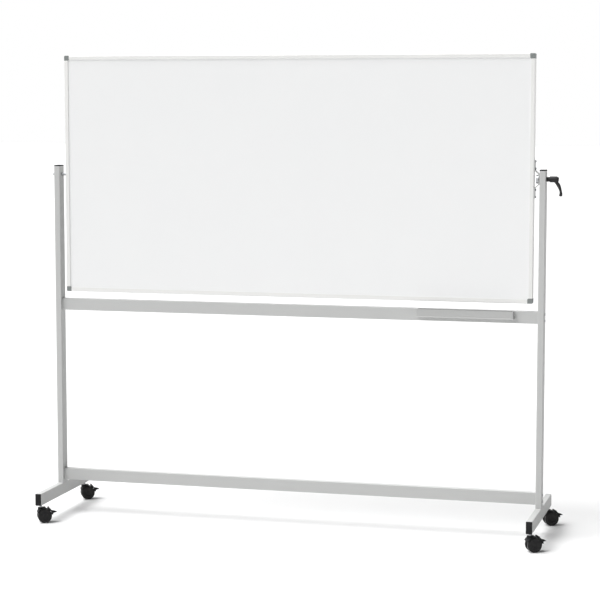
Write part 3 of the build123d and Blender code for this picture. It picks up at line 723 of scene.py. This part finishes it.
# %% Castor: wheel
wheel_radius = 0.030
axle_at = Vector((0.015, 0.0, wheel_radius))
wheel_gap = 0.014
castor_width = 0.042
wheel_width = (castor_width - wheel_gap) / 2
heading = radians(29.0)
inner_y = -wheel_gap / 2
outer_y = -castor_width / 2
inner_round = 0.0010
rim_wall = 0.0040
hollow_width = 0.0160
hollow_depth = 0.0080
axle_bore = 0.00405
near_wheel = round_bar(
    "near_wheel", (axle_at.x, inner_y, axle_at.z), wheel_width, wheel_radius, (90, 0, 0), 72
)
open_for_editing(near_wheel, "EDGE")


def on_rim(y):
    """A test for the edges round the rim at a level y."""
    return lambda at, a, b: abs(a.y - y) < 1e-5 and abs(b.y - y) < 1e-5


pick_edges(on_rim(outer_y))
bpy.ops.mesh.bevel(offset=0.0045, segments=5, affect="EDGES")
pick_edges(on_rim(inner_y))
bpy.ops.mesh.bevel(offset=inner_round, segments=2, affect="EDGES")
bpy.ops.mesh.select_mode(type="FACE")
pick_faces(lambda at, normal: normal.y < -0.99 and at.y < outer_y + 1e-5)
step_inwards(0.0012)
push(y=0.0006)
step_inwards(0.0006)
push(y=0.0008)
bpy.ops.transform.resize(value=(0.97, 1, 0.97))
step_inwards(0.0112)
push(y=-0.0006)
step_inwards(0.0008)
push(y=-0.0008)
bpy.ops.transform.resize(value=(0.93, 1, 0.93))
step_inwards(0.0022)
push(y=0.0004)
step_inwards(0.0004)
pick_faces(lambda at, normal: normal.y > 0.99 and at.y > inner_y - 1e-5)
step_inwards(rim_wall)
push(y=-hollow_depth)
step_inwards(hollow_width)
push(y=hollow_depth)
step_inwards(wheel_radius - inner_round - rim_wall - hollow_width - axle_bore)
push(y=-0.0120)
done_editing()
round_edges(near_wheel, 0.0003, segments=2, angle=40)
print("wheel width:", round(near_wheel.dimensions.y * 1000, 2), "mm, open edges:", open_edges(near_wheel))

# %% [markdown]
# The far wheel is the near one mirrored across the gap. A mirror turns a mesh inside out, so its
# normals are recalculated afterwards.

# %% Castor: the other wheel
far_wheel = copied(near_wheel, "far_wheel")
far_wheel.scale.y = -1.0
bpy.ops.object.transform_apply(location=True, rotation=True, scale=True)
open_for_editing(far_wheel)
bpy.ops.mesh.select_all(action="SELECT")
bpy.ops.mesh.normals_make_consistent(inside=False)
done_editing()
print("far wheel from", round(min(v.co.y for v in far_wheel.data.vertices) * 1000, 2), "mm")

# %% [markdown]
# The hood is the black body that carries the stem and covers the back of the wheels. Its cover is a
# strip spun round the axle, its boss is a short cylinder round the stem, and its web is a disc and a
# block in the gap between the wheels. They are joined into one closed shell, and the wheel wells are
# cut out of it with two fat discs. Two small ears, one on each side of a slot, take the pedal's pin.

# %% Castor: hood
cover_inner = 0.031
cover_outer = 0.0346
web_half = 0.0064
pivot_reach = 0.024  # the pedal's pin, from the axle
pivot_angle = 60


def about_axle(radius, degrees, y=0.0):
    """A point at a radius and an angle about the axle, counted from the trailing side upwards."""
    return Vector((axle_at.x + radius * cos(radians(degrees)), y, axle_at.z + radius * sin(radians(degrees))))


def spun_strip(name, inner, outer, start, end, half_width, columns=1, steps=18):
    """A strip of a tube about the axle, between two radii and two angles."""
    clear_selection()
    middle = about_axle((inner + outer) / 2, start)
    bpy.ops.mesh.primitive_grid_add(
        x_subdivisions=1, y_subdivisions=columns, size=1.0, location=middle,
        rotation=(0, -radians(start), 0),
    )
    bpy.context.active_object.scale = (outer - inner, 2 * half_width, 1.0)
    strip = settled(name)
    open_for_editing(strip)
    bpy.ops.mesh.select_all(action="SELECT")
    bpy.ops.mesh.spin(steps=steps, angle=radians(end - start), center=axle_at, axis=(0, 1, 0))
    bpy.ops.mesh.select_all(action="SELECT")
    bpy.ops.mesh.remove_doubles(threshold=1e-6)
    bpy.ops.mesh.normals_make_consistent(inside=False)
    done_editing()
    print(name, "open edges:", open_edges(strip))
    return strip


hood = spun_strip("hood", cover_inner, cover_outer, 80.0, 155.0, castor_width / 2)
round_edges(hood, 0.0012, segments=3, angle=50)
boss = round_bar("boss", (0, 0, 0.034), 0.032, 0.013, (0, 0, 0))
round_edges(boss, 0.0015, segments=3, angle=50)
for side in (-1, 1):
    well = round_bar("well", about_axle(0, 0, web_half * side), 0.03, cover_inner, (-90 * side, 0, 0), 72)
    combine(boss, well, "DIFFERENCE")
combine(hood, boss)
web = round_bar("web", about_axle(0, 0, web_half), 2 * web_half, 0.012, (90, 0, 0))
neck = block("neck", (-0.0105, 0.0001 - web_half, 0.030), (0.0125, web_half - 0.0001, 0.0600))
combine(web, neck)
combine(hood, web)
for side in (-1, 1):
    ear_start = about_axle(pivot_reach, pivot_angle, 0.0026 if side > 0 else -0.0062)
    ear = round_bar("ear", ear_start, 0.0036, 0.0055, (-90, 0, 0))
    root = spun_strip("root", 0.0105, 0.0283, 63.0, 104.0, 0.0017, steps=6)
    choose_only(root)
    bpy.ops.transform.translate(value=(0, side * 0.0044, 0))
    bpy.ops.object.transform_apply(location=True, rotation=False, scale=False)
    combine(ear, root)
    combine(hood, ear)
pin_hole = round_bar("pin_hole", about_axle(pivot_reach, pivot_angle, 0.02), 0.04, 0.00205, (90, 0, 0), 24)
combine(hood, pin_hole, "DIFFERENCE")
axle_hole = round_bar("axle_hole", about_axle(0, 0, 0.02), 0.04, 0.00400, (90, 0, 0), 32)
combine(hood, axle_hole, "DIFFERENCE")
stem_hole = round_bar("stem_hole", (0, 0, 0.0396), 0.04, 0.00405, (0, 0, 0), 32)
combine(hood, stem_hole, "DIFFERENCE")
choose_only(hood)
bpy.ops.object.shade_smooth_by_angle(angle=radians(35))
print("hood open edges:", open_edges(hood))

# %% [markdown]
# The brake pedal is the second half of the cover. It rocks on a pin between the hood's ears: pressed
# down, its shoe bears on both tyres. Its shell is spun like the hood's. A strip of faces in the
# middle is pulled out into the tab that the foot works, the top edge is raised into the ridge that
# the toe lifts, and a tongue reaches down into the hood's slot to the pin.

# %% Castor: pedal
shell_inner = 0.0312
shell_outer = 0.0364
pedal = spun_strip("pedal", shell_inner, shell_outer, 9.0, 65.0, 0.020, columns=3, steps=14)
open_for_editing(pedal)


def outer_face(first, last, half_width):
    """A test for the shell's outer faces between two angles and within a width."""
    def test(at, normal):
        across = Vector((at.x - axle_at.x, 0, at.z - axle_at.z))
        angle = across.angle(Vector((1, 0, 0))) * 180 / pi
        faces_out = normal.dot(across.normalized()) > 0.9
        return faces_out and first < angle < last and abs(at.y) < half_width
    return test


print("tab faces:", pick_faces(outer_face(15.0, 33.0, 0.009)))
push(x=0.0095, z=0.0010)
bpy.ops.transform.resize(value=(1.0, 1.2, 0.55))
push(x=0.0075, z=-0.0012)
bpy.ops.transform.resize(value=(1.0, 0.95, 0.6))
print("ridge faces:", pick_faces(outer_face(57.0, 66.0, 0.03)))
push(x=0.0011, z=0.0022)
bpy.ops.transform.resize(value=(0.8, 0.97, 1.0))
done_editing()
round_edges(pedal, 0.0009, segments=3, angle=30)
shoe = spun_strip("shoe", 0.0304, 0.033, 9.5, 15.0, 0.0195, steps=3)
combine(pedal, shoe)
tongue = spun_strip("tongue", 0.0235, 0.0330, 49.0, 62.0, 0.0021, steps=4)
knuckle = round_bar("knuckle", about_axle(pivot_reach, pivot_angle, 0.0022), 0.0044, 0.0045, (90, 0, 0), 32)
pin = round_bar("pin", about_axle(pivot_reach, pivot_angle, 0.0061), 0.0122, 0.0020, (90, 0, 0), 24)
combine(knuckle, pin)
combine(tongue, knuckle)
combine(pedal, tongue)
choose_only(pedal)
bpy.ops.object.shade_smooth_by_angle(angle=radians(35))
print("pedal open edges:", open_edges(pedal))

# %% [markdown]
# ## Four castors
#
# Each place is read from the solid wheels: the stem stands one trail's length ahead of the axle. The
# modelled pieces are copied there, turned about their own stem to the shared heading, and the turn is
# put into the mesh, so that each object still sits at the origin.


# %% Castors in place
def put_in_place(piece, name, stem_x, stem_y):
    """A copy of a castor piece, turned to the heading, at one stem."""
    twin = copied(piece, name)
    twin.matrix_world = Matrix.Translation((stem_x, stem_y, 0)) @ Matrix.Rotation(heading, 4, "Z")
    bpy.ops.object.transform_apply(location=True, rotation=True, scale=True)
    return twin


for place in ("front_left", "front_right", "back_left", "back_right"):
    axle_low, axle_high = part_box(f"{place}_axle")
    stem_x = (axle_low.x + axle_high.x) / 2 - axle_at.x * cos(heading)
    stem_y = (axle_low.y + axle_high.y) / 2 - axle_at.x * sin(heading)
    print(place, "stem at", round(stem_x, 4), round(stem_y, 4))
    for made, part, body, slot, finish in (
        (near_wheel, "wheel_near", "wheel_near", "wheel_plastic", wheel_plastic),
        (far_wheel, "wheel_far", "wheel_far", "wheel_plastic", wheel_plastic),
        (hood, "hood", "castor", "black_plastic", black_plastic),
        (pedal, "pedal", "pedal", "black_plastic", black_plastic),
    ):
        twin = put_in_place(made, f"{place}_{part}_moulding", stem_x, stem_y)
        stand_in(twin, f"{place}_{body}", slot, finish, f"{place}_{part}")
for made in (near_wheel, far_wheel, hood, pedal):
    bpy.data.objects.remove(made)
